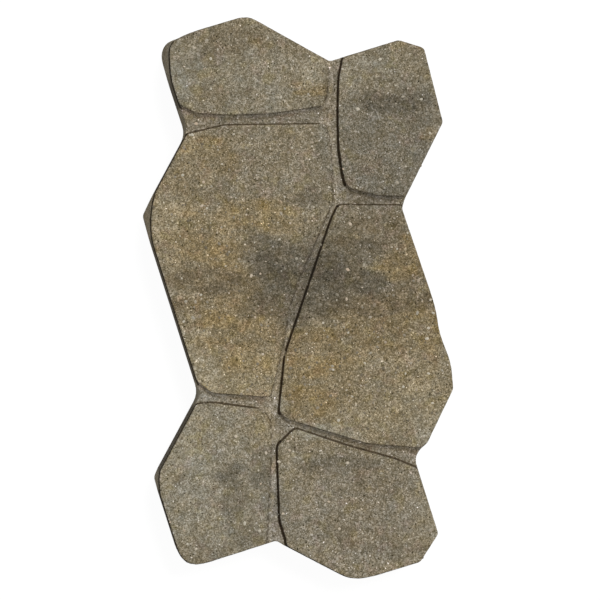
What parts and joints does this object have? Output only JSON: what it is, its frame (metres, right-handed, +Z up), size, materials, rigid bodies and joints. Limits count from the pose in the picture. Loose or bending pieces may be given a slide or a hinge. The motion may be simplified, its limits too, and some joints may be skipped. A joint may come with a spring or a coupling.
{
  "type": "concrete paving stone",
  "caption": "Irregular pressed-concrete paver whose raised faces and false joints look like laid flagstones; it lies flat on a sand bed and nests with its neighbours.",
  "frame": {"origin": "middle of the underside's bounding rectangle", "axes": "+Z up, out of the raised faces; +Y along the stone's length, the picture's up; +X across it, the picture's right"},
  "size_m": [0.3202, 0.5818, 0.06],
  "materials": {
    "concrete": "rough pressed concrete in blended grey, tan and charcoal"
  },
  "bodies": {
    "root": {"paving_stone": "concrete"}
  },
  "joints": []
}
